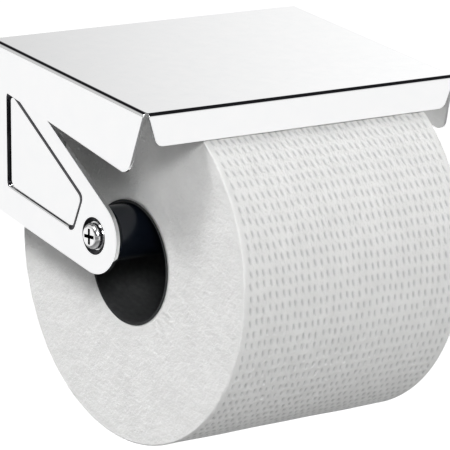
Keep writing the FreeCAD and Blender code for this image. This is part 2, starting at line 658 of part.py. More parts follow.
def make_lip():
    """The front bend and the short lip below it, with slanted ends and rounded corners."""
    outer = "dims.cover_bend"
    gauge = "dims.cover_gauge"
    turn = "dims.cover_flare"
    wide = "places.cover_width - 2 * dims.corner_relief"
    left = "-places.side + dims.corner_relief"
    centre_y = cover_y("dims.cover_bend")
    centre_z = cover_z("-dims.cover_bend")
    bend_turn = TURNS["x"].multiply(FreeCAD.Rotation(FreeCAD.Vector(0, 0, 1), 90))
    rounding = bend("lip_bend", outer, gauge, (left, centre_y, centre_z), left, wide, bend_turn,
                    "90 - " + turn)
    drop = "places.lip_leg"
    out_y = "(%s) - %s * cos(%s)" % (centre_y, outer, turn)
    out_z = "(%s) + %s * sin(%s)" % (centre_z, outer, turn)
    foot = (left, "%s - (%s) * sin(%s)" % (out_y, drop, turn),
            "%s - (%s) * cos(%s)" % (out_z, drop, turn))
    leg = lean("lip_leg", FreeCAD.Vector(1, 0, 0), "-", (wide, gauge, drop), foot)

    sketch = doc.addObject("Sketcher::SketchObject", "lip_outline")
    sketch.Placement.Rotation = FreeCAD.Rotation(FreeCAD.Vector(1, 0, 0), 90)
    sketch.setExpression("Placement.Base.y", cover_y("dims.trim_reach"))
    end_x = "places.side - dims.corner_relief"
    low = cover_z("-dims.lip_drop")
    shape = pad("lip_shape", sketch, [
        ("-(%s)" % end_x, cover_z("0")),
        ("-(%s - dims.lip_slant)" % end_x, low),
        ("%s - dims.lip_slant" % end_x, low),
        (end_x, cover_z("0")),
    ], "2 * dims.trim_reach")

    def corner(middle, run):
        return abs(run.y) > 0.99 and middle.z < value("hinge_below_top") - 0.9 * value("lip_drop")

    shape = rounded("lip_corners", shape, value("lip_corner"), corner)
    return [common("lip", leg, shape), rounding]


def make_cover():
    """Top, front lip and two side flanges from one sheet, drawn level about the hinge axis."""
    bend_x = "(places.side - dims.cover_bend)"
    top = box("cover_top",
              ("-" + bend_x, cover_y("dims.cover_bend"), cover_z("-dims.cover_gauge")),
              (bend_x, cover_y("dims.cover_depth"), cover_z("0")))
    pieces = [top] + make_lip() + make_side_flange("left") + make_side_flange("right")
    body = fuse("cover_blank", *pieces)
    hole = rod("cover_rod_hole", "dims.rod_radius + dims.running_fit", "-places.side - dims.trim_reach",
               "places.cover_width + 2 * dims.trim_reach", ("0", "0"))
    cover = cut("cover_sheet", body, hole)
    cover.Placement.Rotation = FreeCAD.Rotation(FreeCAD.Vector(1, 0, 0), 1)
    cover.setExpression("Placement.Rotation.Angle", "dims.cover_tilt")
    return bind(cover, {}, ("0",) + HINGE)


# ---------------------------------------------------------------- assembly and output

def main():
    nodes = make_roll()
    nodes.append(make_bracket())
    nodes.extend(make_hinge())
    nodes.append(make_arm_screw())
    nodes.append(make_spindle())
    nodes.extend(make_spindle_hardware())
    nodes.extend(make_roller())
    nodes.append(make_cover())
    doc.recompute()

    for item in doc.Objects:
        if "Invalid" in item.State or "Error" in item.State:
            raise RuntimeError("%s did not compute: %s" % (item.Name, item.State))
    for node in nodes:
        node.Label = node.Name
        shape = node.Shape
        if shape.isNull() or not shape.isValid() or len(shape.Solids) != 1:
            raise RuntimeError("%s is not one valid solid" % node.Name)
    for node in nodes:
        node.Shape.exportStep("parts/%s.step" % node.Label)
        box_of = node.Shape.BoundBox
        print("%-18s %9.1f mm3  x %.1f..%.1f  y %.1f..%.1f  z %.1f..%.1f" % (
            node.Label, node.Shape.Volume, box_of.XMin, box_of.XMax,
            box_of.YMin, box_of.YMax, box_of.ZMin, box_of.ZMax))
    for alias in ("cover_width", "hinge_height", "roll_drop", "plate_top", "plate_bottom"):
        print(alias, round(value(alias), 3))


main()
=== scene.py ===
"""Looks of the toilet paper holder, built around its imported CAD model. Metres, in the CAD's frame."""
import math

import bpy
import numpy as np
from mathutils import Matrix, Vector
from mathutils.geometry import tessellate_polygon

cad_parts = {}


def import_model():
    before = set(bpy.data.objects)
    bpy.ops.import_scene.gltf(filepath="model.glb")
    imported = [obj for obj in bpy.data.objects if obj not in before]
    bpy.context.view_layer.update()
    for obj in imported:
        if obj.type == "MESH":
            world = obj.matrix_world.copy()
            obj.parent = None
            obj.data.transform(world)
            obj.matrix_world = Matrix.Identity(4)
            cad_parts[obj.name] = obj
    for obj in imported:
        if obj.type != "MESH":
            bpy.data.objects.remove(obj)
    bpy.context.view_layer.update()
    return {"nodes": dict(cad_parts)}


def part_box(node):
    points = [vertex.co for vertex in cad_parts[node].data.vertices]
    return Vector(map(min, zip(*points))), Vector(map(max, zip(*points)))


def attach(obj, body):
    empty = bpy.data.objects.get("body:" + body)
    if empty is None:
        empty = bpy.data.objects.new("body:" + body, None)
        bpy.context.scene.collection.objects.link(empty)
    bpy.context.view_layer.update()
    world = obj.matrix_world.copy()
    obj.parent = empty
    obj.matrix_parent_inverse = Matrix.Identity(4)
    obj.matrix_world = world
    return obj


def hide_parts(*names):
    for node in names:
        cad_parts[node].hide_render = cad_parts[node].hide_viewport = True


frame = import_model()
NODES = frame["nodes"]
MM = 0.001

# ------------------------------------- sizes in millimetres, places as (y, z) in the CAD's frame

COVER = dict(half=66.05, depth=88.3, gauge=1.0, bend=1.6, flare=4.5, tilt=9.3,
             lip_drop=11.2, lip_slant=3.6, lip_corner=3.5,
             flange_front=21.7, flange_rear=13.9, flange_slant=2.9, toe=4.0,
             axis_drop=7.5, axis_run=89.3, hole=2.08, soft=0.16)
HINGE = (-20.7, 26.696)
SPINDLE = (-67.1, -27.9)
BRACKET = dict(outer=56.05, gauge=1.5, bend=3.0, top=23.696, bottom=-24.665, tip=12.8,
               top_slope=0.7395, low_slope=0.2446, ear=6.0, blend=5.0, rod=2.0,
               bolt=40.0, bolt_hole=2.6, foot=2.5, ear_neck=16.0, soft=0.25)
# crests: how wide the rolled edge is on the front, lower, back and upper side
PANEL = dict(over=8.0, under=10.4, end=11.8, off_wall=17.2, corner=2.5, depth=0.9,
             crown=0.4, root=0.3, crests=(0.9, 0.35, 1.9, 1.5), wider_inside=1.3)
SEAT = dict(radius=6.1, depth=0.8, hole=2.6, wider_inside=1.35)
# the cross recess: how far it reaches from the screw's axis, and where the head is cut by it in x;
# these bound the screw's painted shade
RECESS = dict(radius=2.85, from_x=-57.9)
ROLL = dict(radius=62.3, core=21.3, y=-67.1, z=-38.8, rim=0.9, drawn_in=0.10, end_relief=0.27)
DIMPLES = dict(rows=94, columns=34, plain=1.9, half_width=0.42, half_length=1.15, lean=0.20,
               depth=0.50, uneven=0.16, wander=0.09)

# ---------------------------------------------------------------- node helpers

# the part of a noise's range that is spread over the wanted range
NOISE_LOW, NOISE_HIGH = 0.3, 0.7


def material(name):
    """A new node material: (material, nodes, links, its Principled BSDF)."""
    made = bpy.data.materials.new(name)
    made.use_nodes = True
    nodes, links = made.node_tree.nodes, made.node_tree.links
    return made, nodes, links, nodes["Principled BSDF"]


def noise(nodes, links, scale, detail=4.0, stretch=(1, 1, 1), rough=0.5):
    """A noise texture on object coordinates, which may be stretched. Returns its value socket."""
    place = nodes.new("ShaderNodeTexCoord")
    turn = nodes.new("ShaderNodeMapping")
    turn.inputs["Scale"].default_value = stretch
    links.new(place.outputs["Object"], turn.inputs["Vector"])
    texture = nodes.new("ShaderNodeTexNoise")
    texture.inputs["Scale"].default_value = scale
    texture.inputs["Detail"].default_value = detail
    texture.inputs["Roughness"].default_value = rough
    links.new(turn.outputs["Vector"], texture.inputs["Vector"])
    return texture.outputs["Fac"]


def ramp(nodes, links, socket, low, high):
    """Maps a noise to a colour between two RGB triples."""
    made = nodes.new("ShaderNodeValToRGB")
    made.color_ramp.elements[0].position = NOISE_LOW
    made.color_ramp.elements[0].color = (*low, 1)
    made.color_ramp.elements[1].position = NOISE_HIGH
    made.color_ramp.elements[1].color = (*high, 1)
    links.new(socket, made.inputs["Fac"])
    return made.outputs["Color"]


def spread(nodes, links, socket, low, high):
    """Maps a noise to a range."""
    made = nodes.new("ShaderNodeMapRange")
    made.inputs["From Min"].default_value = NOISE_LOW
    made.inputs["From Max"].default_value = NOISE_HIGH
    made.inputs["To Min"].default_value = low
    made.inputs["To Max"].default_value = high
    links.new(socket, made.inputs["Value"])
    return made.outputs["Result"]


def bump(nodes, links, socket, height, below=None):
    """A bump of a real height in metres. below is another bump's normal."""
    made = nodes.new("ShaderNodeBump")
    made.inputs["Strength"].default_value = 1.0
    made.inputs["Distance"].default_value = height
    links.new(socket, made.inputs["Height"])
    if below is not None:
        links.new(below, made.inputs["Normal"])
    return made.outputs["Normal"]


# ---------------------------------------------------------------- materials


def metal(name, dark, light, rough_low, rough_high, scale=220.0, stretch=(1, 1, 1)):
    """Bare metal or plating, a little cloudy in its colour (dark to light) and its roughness."""
    made, nodes, links, shader = material(name)
    shader.inputs["Metallic"].default_value = 1.0
    wear = noise(nodes, links, scale, 5.0, stretch)
    links.new(ramp(nodes, links, wear, dark, light), shader.inputs["Base Color"])
    cloud = noise(nodes, links, scale * 0.3, 3.0, stretch)
    links.new(spread(nodes, links, cloud, rough_low, rough_high), shader.inputs["Roughness"])
    return made


def chrome(name):
    """Bright plating: nearly flawless, with the faintest cloudiness."""
    return metal(name, (0.835, 0.84, 0.845), (0.86, 0.86, 0.86), 0.025, 0.045)


def turned_steel():
    """Dull steel with the fine lines that a lathe leaves."""
    return metal("turned_steel", (0.50, 0.50, 0.51), (0.66, 0.66, 0.66), 0.22, 0.38,
                 scale=90.0, stretch=(30, 1, 1))


def screw_look():
    """Plating, with painted shade inside the cross recess."""
    made, nodes, links, shader = material("screw_plating_painted_recess_shade")
    shader.inputs["Metallic"].default_value = 1.0
    shader.inputs["Roughness"].default_value = 0.22
    place = nodes.new("ShaderNodeTexCoord")
    off_axis = nodes.new("ShaderNodeVectorMath")
    off_axis.operation = "MULTIPLY_ADD"
    links.new(place.outputs["Object"], off_axis.inputs[0])
    off_axis.inputs[1].default_value = (0, 1, 1)
    off_axis.inputs[2].default_value = (0, -SPINDLE[0] * MM, -SPINDLE[1] * MM)
    radius = nodes.new("ShaderNodeVectorMath")
    radius.operation = "LENGTH"
    links.new(off_axis.outputs["Vector"], radius.inputs[0])
    inner = nodes.new("ShaderNodeMath")
    inner.operation = "LESS_THAN"
    links.new(radius.outputs["Value"], inner.inputs[0])
    inner.inputs[1].default_value = RECESS["radius"] * MM
    parts = nodes.new("ShaderNodeSeparateXYZ")
    links.new(place.outputs["Object"], parts.inputs["Vector"])
    sunk = nodes.new("ShaderNodeMath")
    sunk.operation = "GREATER_THAN"
    links.new(parts.outputs["X"], sunk.inputs[0])
    sunk.inputs[1].default_value = RECESS["from_x"] * MM
    recess_painted_shade = nodes.new("ShaderNodeMath")
    recess_painted_shade.operation = "MULTIPLY"
    links.new(inner.outputs["Value"], recess_painted_shade.inputs[0])
    links.new(sunk.outputs["Value"], recess_painted_shade.inputs[1])
    # near black inside the cross recess: painted shade
    links.new(ramp(nodes, links, recess_painted_shade.outputs["Value"], (0.88, 0.88, 0.88), (0.01, 0.01, 0.01)),
              shader.inputs["Base Color"])
    return made


def plastic(name, dark, light, rough_low, rough_high, grain):
    """Moulded plastic. grain is the height of its fine bumps in metres."""
    made, nodes, links, shader = material(name)
    cloud = noise(nodes, links, 60.0, 4.0)
    links.new(ramp(nodes, links, cloud, dark, light), shader.inputs["Base Color"])
    fine = noise(nodes, links, 900.0, 3.0)
    links.new(spread(nodes, links, fine, rough_low, rough_high), shader.inputs["Roughness"])
    links.new(bump(nodes, links, fine, grain), shader.inputs["Normal"])
    return made


def tissue():
    """Soft paper: fibres, crumples, a little mottling, and painted shade in the pressed dimples."""
    made, nodes, links, shader = material("tissue_paper")
    mottle = noise(nodes, links, 130.0, 6.0)
    mottled = ramp(nodes, links, mottle, (0.81, 0.81, 0.80), (0.86, 0.86, 0.85))
    shader.inputs["Roughness"].default_value = 0.95
    shader.inputs["Specular IOR Level"].default_value = 0.15
    dimple_painted_shade = nodes.new("ShaderNodeAttribute")
    dimple_painted_shade.attribute_name = "dimple_painted_shade"
    shade = nodes.new("ShaderNodeMix")
    shade.data_type = "RGBA"
    shade.blend_type = "MULTIPLY"
    # the dimples' colour is multiplied by this: painted shade
    shade.inputs["B"].default_value = (0.66, 0.665, 0.67, 1)
    links.new(dimple_painted_shade.outputs["Fac"], shade.inputs["Factor"])
    links.new(mottled, shade.inputs["A"])
    links.new(shade.outputs["Result"], shader.inputs["Base Color"])
    fibre = noise(nodes, links, 1300.0, 5.0, (1, 0.6, 0.6), 0.65)
    crumple = noise(nodes, links, 260.0, 3.0)
    soft = bump(nodes, links, crumple, 0.0006)
    links.new(bump(nodes, links, fibre, 0.0006, below=soft), shader.inputs["Normal"])
    return made


def cardboard():
    """Board coloured near black, a painted shade for the inside of the core, wound on a slant."""
    made, nodes, links, shader = material("core_board_with_painted_shade")
    fleck = noise(nodes, links, 500.0, 6.0)
    # near black: painted shade inside the core, with random flecks
    links.new(ramp(nodes, links, fleck, (0.015, 0.016, 0.017), (0.03, 0.031, 0.032)),
              shader.inputs["Base Color"])
    shader.inputs["Roughness"].default_value = 0.9
    place = nodes.new("ShaderNodeTexCoord")
    turn = nodes.new("ShaderNodeMapping")
    turn.inputs["Rotation"].default_value = (0.0, 0.0, 0.6)
    links.new(place.outputs["Object"], turn.inputs["Vector"])
    wave = nodes.new("ShaderNodeTexWave")
    wave.inputs["Scale"].default_value = 9.0
    wave.inputs["Distortion"].default_value = 0.4
    links.new(turn.outputs["Vector"], wave.inputs["Vector"])
    seam = bump(nodes, links, wave.outputs["Fac"], 0.0002)
    links.new(bump(nodes, links, fleck, 0.00006, below=seam), shader.inputs["Normal"])
    return made


CHROME = chrome("chrome_sheet_bright")
# near black plating for the pressed walls: a painted dark reflection
PAINTED_DARK_REFLECTION = metal("chrome_painted_dark_reflection", (0.015, 0.015, 0.018), (0.05, 0.05, 0.055), 0.08, 0.16)
NAVY = plastic("navy_gloss_plastic", (0.002, 0.003, 0.006), (0.004, 0.006, 0.010),
               0.17, 0.23, 0.000004)
NYLON = plastic("nylon_plastic", (0.66, 0.66, 0.63), (0.74, 0.74, 0.71), 0.4, 0.55, 0.00003)
STEEL = turned_steel()
SCREW = screw_look()
TISSUE = tissue()
CARD = cardboard()

SLOTS = {
    "hinge_rod": CHROME, "hinge_cap_left": CHROME, "hinge_cap_right": CHROME,
    "arm_screw": SCREW, "bracket_sheet": CHROME, "cover_sheet": CHROME,
    "hinge_spacer_left": NYLON, "hinge_spacer_right": NYLON,
    "spindle": STEEL, "lock_washer": STEEL, "spindle_clip": STEEL,
    "roller_tube": NAVY, "roller_end_plug": NAVY,
    "roller_bush_left": NYLON, "roller_bush_right": NYLON,
    "cardboard_core": CARD, "paper_roll": TISSUE,
}
for node_name, look in SLOTS.items():
    mesh = NODES[node_name].data
    mesh.materials.clear()
    mesh.materials.append(look)

# ---------------------------------------------------------------- bent sheet


def lerp(a, b, t):
    """The value a share t of the way from a to b."""
    return a + (b - a) * t


def arc(centre, radius, start, stop, steps):
    """Points on an arc, ends included. Angles in degrees."""
    turns = [math.radians(lerp(start, stop, k / steps)) for k in range(steps + 1)]
    return [(centre[0] + radius * math.cos(a), centre[1] + radius * math.sin(a)) for a in turns]


CORNER_STEPS = 8


def corner_arc(before, corner, after, radius):
    """Rounds one corner of an outline: points from one tangent point to the other."""
    a = Vector(before) - Vector(corner)
    b = Vector(after) - Vector(corner)
    a.normalize()
    b.normalize()
    half = a.angle(b) / 2
    middle = Vector(corner) + (a + b).normalized() * (radius / math.sin(half))
    first = Vector(corner) + a * (radius / math.tan(half)) - middle
    last = Vector(corner) + b * (radius / math.tan(half)) - middle
    turn = first.angle_signed(last)
    points = []
    for k in range(CORNER_STEPS + 1):
        spoke = first.copy()
        spoke.rotate(Matrix.Rotation(-turn * k / CORNER_STEPS, 2))
        points.append(tuple(middle + spoke))
    return points


class Sheet:
    """Sheet metal of one gauge. A point is a pair: where it is on the outer and the inner face."""

    def __init__(self):
        self.index = {}
        self.outer = []
        self.inner = []
        self.faces = []
        self.looks = []

    def point(self, pair):
        """The number of a pair, which is added if it is new."""
        key = tuple(round(c, 4) for c in pair[0])
        if key not in self.index:
            self.index[key] = len(self.outer)
            self.outer.append(tuple(pair[0]))
            self.inner.append(tuple(pair[1]))
        return self.index[key]

    def face(self, pairs, look=0):
        """One face. look is the number of its material."""
        self.faces.append([self.point(p) for p in pairs])
        self.looks.append(look)

    def strip(self, first, last, look=0):
        """Quads between two equally long runs of points."""
        for k in range(len(first) - 1):
            self.face([first[k], first[k + 1], last[k + 1], last[k]], look)

    def region(self, loops, place, turned=False):
        """A flat region: an outline and its holes, as 2-D points that place() turns to pairs.
        A point may be a pair of 2-D points, one for each face."""
        outlines, pairs = [], []
        for loop in loops:
            halves = [p if isinstance(p[0], tuple) else (p, p) for p in loop]
            outlines.append([Vector((*outer, 0)) for outer, inner in halves])
            pairs += [(place(outer)[0], place(inner)[1]) for outer, inner in halves]
        points = [p for outline in outlines for p in outline]
        for tri in tessellate_polygon(outlines):
            a, b, c = (points[i] for i in tri)
            if ((b - a).cross(c - a).z < 0) != turned:
                tri = tri[::-1]
            self.face([pairs[i] for i in tri])

    def build(self, name, bevel, looks):
        """The closed mesh, with rims between the two faces and softened edges."""
        count = len(self.outer)
        faces = self.faces
        edges = dict.fromkeys((a, b) for f in faces for a, b in zip(f, f[1:] + f[:1]))
        rims = [(b, a, a + count, b + count) for (a, b) in edges if (b, a) not in edges]
        backs = [[i + count for i in reversed(f)] for f in faces]
        mesh = bpy.data.meshes.new(name)
        points = [tuple(c * MM for c in p) for p in self.outer + self.inner]
        mesh.from_pydata(points, [], faces + backs + rims)
        for look in looks:
            mesh.materials.append(look)
        mesh.polygons.foreach_set("material_index", self.looks * 2 + [0] * len(rims))
        mesh.update()
        made = bpy.data.objects.new(name, mesh)
        bpy.context.scene.collection.objects.link(made)
        mesh.shade_smooth()
        soften = made.modifiers.new("soft_edges", "BEVEL")
        soften.width = bevel * MM
        soften.segments = 3
        soften.limit_method = "ANGLE"
        soften.angle_limit = math.radians(60)
        weigh = made.modifiers.new("flat_faces", "WEIGHTED_NORMAL")
        weigh.mode = "FACE_AREA"
        weigh.weight = 100
        weigh.keep_sharp = False
        return made


def apply_modifiers(item):
    """Leaves the mesh that the modifiers make, with none of them on it."""
    graph = bpy.context.evaluated_depsgraph_get()
    made = bpy.data.meshes.new_from_object(item.evaluated_get(graph), depsgraph=graph)
    item.modifiers.clear()
    item.data = made


def build_cover():
    """The cover: top, front lip and two side flanges with the rod's holes, bent from one sheet."""
    c = COVER
    angle = math.radians(90 - c["flare"])
    reach = c["bend"] * angle
    edge = c["half"] - c["bend"]
    front = c["bend"]
    end_z = -c["bend"] + c["bend"] * math.cos(angle)
    steps = 14
    tilt = Matrix.Rotation(math.radians(c["tilt"]), 3, "X")

    def world(level):
        """From (x, run back from the front edge, height over the top face) to the closed cover."""
        p = tilt @ Vector((level[0], level[1] - c["axis_run"], level[2] + c["axis_drop"]))
        return (p.x, p.y + HINGE[0], p.z + HINGE[1])

    def both(level, normal):
        """The pair at a point of the outer face, given in level coordinates."""
        inner = [a - c["gauge"] * n for a, n in zip(level, normal)]
        return world(level), world(inner)

    def bent(s):
        """Distance out, height and normal (out, up) at s along a bend and its leg."""
        turn = min(s / c["bend"], angle)
        out = c["bend"] * math.sin(turn)
        up = -c["bend"] + c["bend"] * math.cos(turn)
        leg = max(s - reach, 0.0)
        return (out + leg * math.cos(angle), up - leg * math.sin(angle),
                math.sin(turn), math.cos(turn))

    def on_top(p):
        return both((p[0], p[1], 0), (0, 0, 1))

    def on_side(sign):
        def place(p):
            out, up, n_out, n_up = bent(p[1])
            return both((sign * (edge + out), p[0], up), (sign * n_out, 0, n_up))
        return place

    def on_lip(p):
        out, up, n_out, n_up = bent(p[1])
        return both((p[0], front - out, up), (0, -n_out, n_up))

    def along(z):
        """Distance along a leg at a height below the top face."""
        return reach + (end_z - z) / math.sin(angle)

    sheet = Sheet()
    sheet.face([on_top(p) for p in ((-edge, front), (edge, front), (edge, c["depth"]),
                                    (-edge, c["depth"]))])
    bends = [reach * k / steps for k in range(steps + 1)]

    # the front lip
    for a, b in zip(bends, bends[1:]):
        sheet.face([on_lip((-edge, b)), on_lip((edge, b)), on_lip((edge, a)), on_lip((-edge, a))])
    low = along(-c["lip_drop"])
    inset = edge - c["lip_slant"]
    right = corner_arc((edge, reach), (inset, low), (0, low), c["lip_corner"])
    left = [(-x, s) for x, s in reversed(right)]
    outline = [(edge, reach)] + right + left + [(-edge, reach)]
    sheet.face([on_lip(p) for p in reversed(outline)])

    # the side flanges, each cut in two through the rod hole
    axis = (c["axis_run"], -c["axis_drop"])
    ear = c["flange_rear"] - c["axis_drop"]
    clip = math.degrees(math.asin((c["axis_drop"] + end_z) / ear))
    toe = corner_arc((front, -c["bend"]), (front + c["flange_slant"], -c["flange_front"]),
                     (axis[0], -c["flange_rear"]), c["toe"])
    hole = arc(axis, c["hole"], 90, 270, steps=12)
    fore = [(front, end_z)] + toe + [(axis[0], -c["flange_rear"])] + hole[::-1]
    fore += [(axis[0], end_z), (c["depth"], end_z)]
    hole = arc(axis, c["hole"], 90, -90, steps=12)
    aft = [(axis[0], end_z)] + hole + arc(axis, ear, -90, clip, steps=18)
    for sign in (-1, 1):
        place = on_side(sign)
        order = 1 if sign > 0 else -1
        for a, b in zip(bends, bends[1:]):
            quad = [(front, a), (front, b), (c["depth"], b), (c["depth"], a)]
            sheet.face([place(p) for p in quad][::order])
        for part in (fore, aft):
            loop = [(p[0], along(p[1])) for p in part]
            sheet.face([place(p) for p in loop][::order])
    return sheet.build("cover_body", c["soft"], [CHROME])


cover = build_cover()
apply_modifiers(cover)
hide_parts("cover_sheet")
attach(cover, "cover")

# ---------------------------------------------------------------- the bracket


def inset_loop(corners, insets, radius):
    """A convex outline, each side moved inwards, with rounded corners and its first point again."""
    count = len(corners)
    moved = []
    for k, corner in enumerate(corners):
        a = (Vector(corners[k - 1]) - Vector(corner)).normalized()
        b = (Vector(corners[(k + 1) % count]) - Vector(corner)).normalized()
        moved.append(Vector(corner) + (b * insets[k - 1] + a * insets[k]) / math.sin(a.angle(b)))
    points = []
    for k in range(count):
        points += corner_arc(moved[k - 1], moved[k], moved[(k + 1) % count], radius)
    return points + points[:1]


OUTER, GAUGE, BEND, EAR = (BRACKET[key] for key in ("outer", "gauge", "bend", "ear"))
ARM_TOP, ARM_LOW = math.atan(BRACKET["top_slope"]), math.atan(BRACKET["low_slope"])
EAR_LOW = HINGE[1] - EAR - BRACKET["ear_neck"]
# where an ear's round leaves the sheet's top edge, and at what angle
HEEL = (HINGE[0] + EAR, BRACKET["top"])
HEEL_RISE = math.degrees(math.atan2(BRACKET["top"] - HINGE[1], EAR))
ROD_HOLE = arc(HINGE, BRACKET["rod"], 0, 360, steps=24)[:-1]


def on_arm(p, depth=0.0):
    """The pair at a point (y, z) of the arm, pressed inwards by depth."""
    return ((depth - OUTER, p[0], p[1]), (depth + GAUGE - OUTER, p[0], p[1]))


def press(sheet, rings, dark):
    """Joins rings of (outline on the outer face, outline on the inner face, depth).
    dark(k) says whether stretch k gets the painted dark reflection. Returns the last ring's pairs."""
    runs = []
    for outer_loop, inner_loop, depth in rings:
        runs.append([(on_arm(p, depth)[0], on_arm(q, depth)[1])
                     for p, q in zip(outer_loop[::-1], inner_loop[::-1])])
    for first, last in zip(runs, runs[1:]):
        for k in range(len(first) - 1):
            sheet.strip(first[k:k + 2], last[k:k + 2], 1 if dark(k) else 0)
    return runs[-1]


def first_edge(rings):
    """The edge that the flat round the pressing shares with its first ring."""
    outer_loop, inner_loop, _ = rings[0]
    return list(zip(outer_loop[:-1], inner_loop[:-1]))


def panel_corners():
    """The panel's sharp corners: lower front, lower back, upper back, upper front."""
    middle, half = (ARM_TOP + ARM_LOW) / 2, (ARM_TOP - ARM_LOW) / 2
    over, under = BRACKET["tip"] - PANEL["over"], BRACKET["tip"] - PANEL["under"]
    run = -SPINDLE[0] - PANEL["off_wall"]
    lean = PANEL["end"] * math.tan(half)

    def off_spindle(ahead, rise):
        return (SPINDLE[0] + ahead * math.cos(middle) - rise * math.sin(middle),
                SPINDLE[1] + ahead * math.sin(middle) + rise * math.cos(middle))

    low_back = SPINDLE[1] - under / math.cos(ARM_LOW) + run * BRACKET["low_slope"]
    high_back = SPINDLE[1] + over / math.cos(ARM_TOP) + run * BRACKET["top_slope"]
    return [
        off_spindle(PANEL["end"], -under / math.cos(half) - lean),
        (-PANEL["off_wall"], low_back),
        (-PANEL["off_wall"], high_back),
        off_spindle(PANEL["end"], over / math.cos(half) + lean),
    ]


def press_panel(sheet):
    """The pressed panel, with a rolled edge all round. Returns its edge in the flat."""
    corners = panel_corners()
    crown, root, wider = PANEL["crown"], PANEL["root"], PANEL["wider_inside"]
    turns = [math.radians(a) for a in (0, 30, 60, 90)]
    steps = [([w * (math.sin(a) - 1) for w in PANEL["crests"]], crown - crown * math.cos(a))
             for a in turns]
    steps += [([root - root * math.cos(a)] * 4, PANEL["depth"] - root + root * math.sin(a))
              for a in turns]
    rings = []
    for insets, depth in steps:
        rings.append((inset_loop(corners, insets, PANEL["corner"] - insets[1]),
                      inset_loop(corners, [i - wider for i in insets],
                                 PANEL["corner"] + wider - insets[1]), depth))
    # the lower side and half of its back corner catch the light and keep the bright plating; the rest
    # gets a painted dark reflection
    lower_side = 3 * (CORNER_STEPS + 1)
    floor = press(sheet, rings, lambda k: not lower_side - CORNER_STEPS // 2 < k <= lower_side)
    sheet.face(floor[:-1])
    return first_edge(rings)


def dish_seat(sheet):
    """The dished seat of the screw, with the screw's hole. Returns its edge in the flat."""
    deep = SEAT["depth"]
    # how far in from the seat's radius, and how deep
    profile = ((-0.25, 0.0), (-0.05, 0.05), (0.15, 0.2),
               (0.9, deep - 0.15), (1.1, deep - 0.03), (1.35, deep))
    rings = []
    for inwards, depth in profile:
        radius = SEAT["radius"] - inwards
        rings.append((arc(SPINDLE, radius, 0, 360, steps=48),
                      arc(SPINDLE, radius + SEAT["wider_inside"], 0, 360, steps=48), depth))
    # every stretch of the seat's wall gets the painted dark reflection
    floor = press(sheet, rings, lambda k: True)
    hole = arc(SPINDLE, SEAT["hole"], 0, 360, steps=48)[::-1]
    sheet.strip(floor, [on_arm(p, deep) for p in hole])
    return first_edge(rings)


def cut_arm(sheet, pressings):
    """The arm's flat round its pressings, with the left ear and the ear's neck."""
    b = BRACKET
    tip = arc(SPINDLE, b["tip"], 90 + math.degrees(ARM_TOP), 270 + math.degrees(ARM_LOW), steps=40)
    foot = (-BEND, b["bottom"] - BEND * b["low_slope"])
    neck = (HINGE[0] - EAR, tip[0][1] + (HINGE[0] - EAR - tip[0][0]) * b["top_slope"])
    outline = [foot, (-BEND, b["bottom"]), (-BEND, b["top"]), HEEL]
    outline += arc(HINGE, EAR, HEEL_RISE, 180, steps=36)
    outline += corner_arc(outline[-1], neck, tip[0], b["blend"]) + tip
    sheet.region([outline, ROD_HOLE] + pressings, on_arm, turned=True)


def cut_plate(sheet):
    """The wall plate with its two screw holes, and its bends to the arm and the right ear."""
    b = BRACKET
    edge = OUTER - BEND

    def bent(side, turn, z):
        c, s = math.cos(math.radians(turn)), math.sin(math.radians(turn))
        return ((side * edge + BEND * c, BEND * s - BEND, z),
                (side * edge + (BEND - GAUGE) * c, (BEND - GAUGE) * s - BEND, z))

    steps = 12
    for side, start, stop, base in ((-1, 180, 90, b["bottom"]), (1, 90, 0, EAR_LOW)):
        turns = [lerp(start, stop, k / steps) for k in range(steps + 1)]
        sheet.strip([bent(side, a, b["top"]) for a in turns], [bent(side, a, base) for a in turns])
    outline = [(-edge, b["top"]), (-edge, b["bottom"])]
    outline += corner_arc((-edge, b["bottom"]), (edge, b["bottom"]), (edge, 0), b["foot"])
    outline += [(edge, EAR_LOW), (edge, b["top"])]
    holes = [arc((x, 0), b["bolt_hole"], 0, 360, steps=32)[:-1] for x in (-b["bolt"], b["bolt"])]
    sheet.region([outline] + holes, lambda p: ((p[0], 0.0, p[1]), (p[0], -GAUGE, p[1])), turned=True)


def cut_right_ear(sheet):
    """The short ear that holds the rod's right end."""
    outline = [(-BEND, EAR_LOW), (-BEND, BRACKET["top"]), HEEL]
    outline += arc(HINGE, EAR, HEEL_RISE, 270, steps=40)
    sheet.region([outline, ROD_HOLE], lambda p: ((OUTER, *p), (OUTER - GAUGE, *p)))


def build_bracket():
    """Arm with its pressed panel and screw seat, wall plate, and right ear, bent from one sheet."""
    sheet = Sheet()
    cut_arm(sheet, [press_panel(sheet), dish_seat(sheet)])
    cut_plate(sheet)
    cut_right_ear(sheet)
    return sheet.build("bracket_body", BRACKET["soft"], [CHROME, PAINTED_DARK_REFLECTION])


bracket = build_bracket()
apply_modifiers(bracket)
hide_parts("bracket_sheet")
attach(bracket, "bracket")

# ---------------------------------------------------------------- the roll of paper


